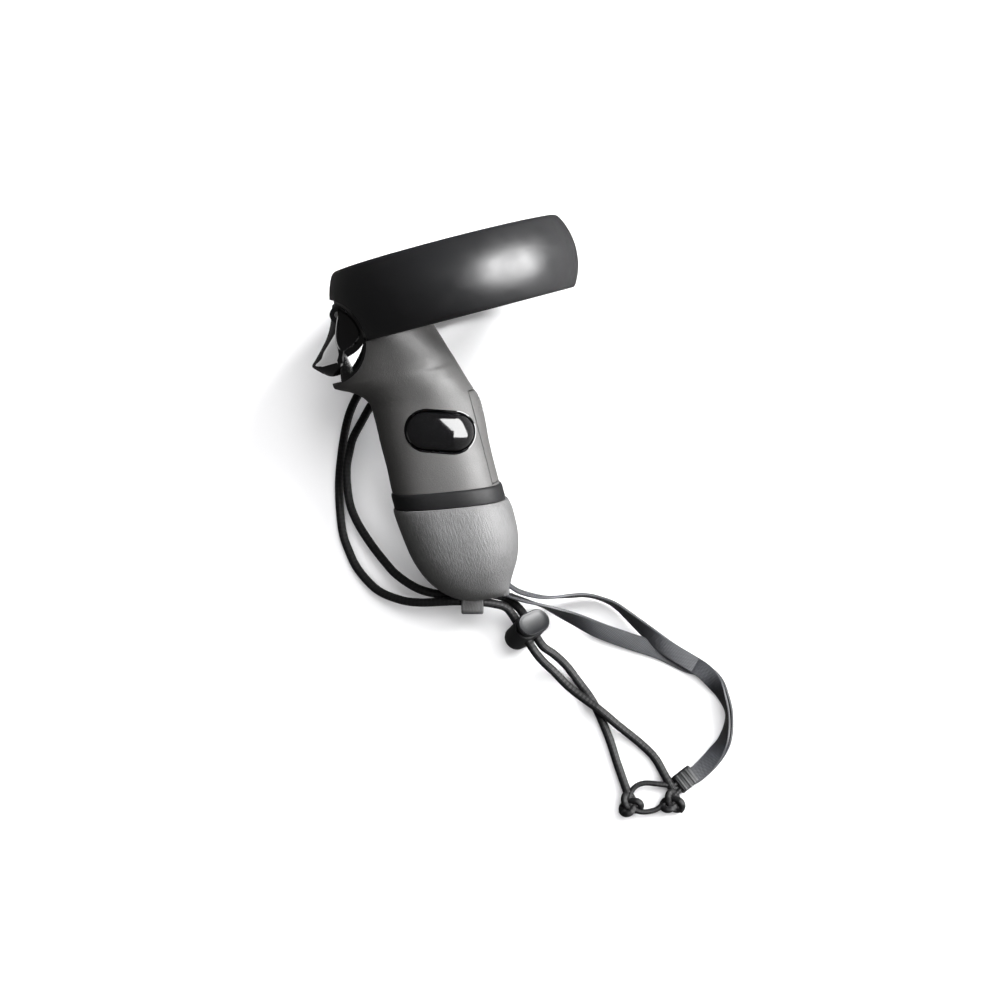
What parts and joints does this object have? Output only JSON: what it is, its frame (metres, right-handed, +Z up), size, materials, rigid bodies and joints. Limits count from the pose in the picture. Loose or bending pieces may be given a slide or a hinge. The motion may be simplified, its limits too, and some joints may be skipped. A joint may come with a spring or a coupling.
{
  "type": "vr motion controller",
  "caption": "Handheld motion controller with a round tracking ring, trigger, grip button, thumbstick and a textured end cap carrying an elastic hand cord and wrist strap.",
  "frame": {"origin": "middle of the bounding box of the controller without its cords, on the surface it lies on", "axes": "Z up from the surface, Y along the controller towards the tracking ring, X towards the ring's open rear"},
  "size_m": [0.1551, 0.221, 0.0903],
  "materials": {
    "body_grey": "fine matte texture, moulded",
    "ring_plastic": "smooth satin, smoky black",
    "flex_film": "polyimide film",
    "led_lens": "clear moulded lens",
    "gloss_black": "piano black gloss",
    "stick_rubber": "soft matte rubber",
    "steel": "plain drawn steel",
    "inner_plastic": "moulded inner plastic",
    "board_green": "solder mask over glass laminate",
    "battery_sleeve": "printed metal sleeve without lettering",
    "contact_nickel": "nickel plated",
    "cap_plastic": "fine vertical grain",
    "band_collar": "smooth matte rubber",
    "elastic_cord": "tight braided elastic sheath",
    "lock_plastic": "satin moulded plastic",
    "band_webbing": "satin woven webbing",
    "loop_cord": "thin braided cord"
  },
  "bodies": {
    "handle": {"handle_shell_left": "body_grey", "handle_shell_right": "body_grey", "cord_hook": "body_grey", "ring_outer_shell": "ring_plastic", "ring_inner_shell": "ring_plastic", "face_housing": "ring_plastic", "face_plate": "ring_plastic", "ring_flex": "flex_film", "ring_leds": "led_lens", "trigger_bezel": "gloss_black", "grip_bezel": "gloss_black", "thumb_rest": "stick_rubber", "trigger_pin": "steel", "trigger_spring": "steel", "grip_pin": "steel", "grip_spring": "steel", "stick_housing": "steel", "battery_tray": "inner_plastic", "main_board": "board_green", "board_switches": "steel", "haptic_motor": "steel", "battery": "battery_sleeve", "contact_positive": "contact_nickel", "contact_spring": "contact_nickel", "housing_screws": "steel", "hand_cord": "elastic_cord"},
    "trigger": {"trigger": "gloss_black"},
    "grip_button": {"grip_button": "gloss_black"},
    "stick_yoke": {"stick_yoke": "inner_plastic"},
    "stick_gimbal": {"stick_gimbal": "steel"},
    "stick": {"stick_shaft": "steel", "stick_cap": "stick_rubber"},
    "button_a": {"button_a": "gloss_black"},
    "button_b": {"button_b": "gloss_black"},
    "system_button": {"system_button": "gloss_black"},
    "battery_cover": {"battery_cover": "body_grey", "cover_magnets": "contact_nickel"},
    "strap_cap": {"strap_cap": "cap_plastic", "strap_pin": "steel", "cap_band": "band_collar", "tail_cord_a": "elastic_cord", "tail_cord_b": "elastic_cord", "cord_knot_a": "elastic_cord", "cord_knot_b": "elastic_cord", "wrist_band": "band_webbing", "strap_crimp": "lock_plastic", "loop_cord": "loop_cord"},
    "lock_body": {"lock_body": "lock_plastic", "lock_spring": "steel"},
    "lock_plunger": {"lock_plunger": "lock_plastic"}
  },
  "joints": [
    {"name": "trigger_pull", "type": "hinge", "parent": "handle", "child": "trigger", "pos_m": [-0.03779, 0.03334, 0.04168], "axis": [0, -0.2815, 0.9596], "range_deg": [0, 13], "stiffness_Nm_per_rad": 0.08, "springref_deg": -8.59},
    {"name": "grip_press", "type": "hinge", "parent": "handle", "child": "grip_button", "pos_m": [-0.01476, -0.00829, 0.03927], "axis": [0.0785, 0.9566, 0.2806], "range_deg": [0, 6], "stiffness_Nm_per_rad": 0.15, "springref_deg": -5.73, "deforming": ["grip_spring"]},
    {"name": "stick_side", "type": "hinge", "parent": "handle", "child": "stick_yoke", "pos_m": [-0.01812, 0.02777, 0.05307], "axis": [0.9681, 0.2403, 0.0705], "range_deg": [-16, 16], "stiffness_Nm_per_rad": 0.03},
    {"name": "stick_forward", "type": "hinge", "parent": "stick_yoke", "child": "stick_gimbal", "pos_m": [-0.01812, 0.02777, 0.05307], "axis": [0, 0.2815, -0.9596], "range_deg": [-16, 16], "stiffness_Nm_per_rad": 0.03},
    {"name": "stick_click", "type": "slide", "parent": "stick_gimbal", "child": "stick", "axis": [0.2504, -0.929, -0.2725], "range_m": [0, 0.0005], "stiffness_N_per_m": 2000, "springref_m": -0.0002},
    {"name": "button_a_press", "type": "slide", "parent": "handle", "child": "button_a", "axis": [0.2504, -0.929, -0.2725], "range_m": [0, 0.001], "stiffness_N_per_m": 800, "springref_m": -0.0002},
    {"name": "button_b_press", "type": "slide", "parent": "handle", "child": "button_b", "axis": [0.2504, -0.929, -0.2725], "range_m": [0, 0.001], "stiffness_N_per_m": 800, "springref_m": -0.0002},
    {"name": "system_press", "type": "slide", "parent": "handle", "child": "system_button", "axis": [0.2504, -0.929, -0.2725], "range_m": [0, 0.0007], "stiffness_N_per_m": 800, "springref_m": -0.0002},
    {"name": "cover_off", "type": "slide", "parent": "handle", "child": "battery_cover", "axis": [0.9681, 0.2403, 0.0705], "range_m": [0, 0.015]},
    {"name": "cap_off", "type": "slide", "parent": "handle", "child": "strap_cap", "axis": [0.2504, -0.929, -0.2725], "range_m": [0, 0.045], "deforming": ["hand_cord"]},
    {"name": "lock_slide", "type": "slide", "parent": "strap_cap", "child": "lock_body", "axis": [0.5156, -0.853, 0.0815], "range_m": [0, 0.003]},
    {"name": "lock_press", "type": "slide", "parent": "lock_body", "child": "lock_plunger", "axis": [-0.3596, -0.3018, -0.8829], "range_m": [0, 0.002], "stiffness_N_per_m": 900, "springref_m": -0.0005, "deforming": ["lock_spring"]}
  ]
}
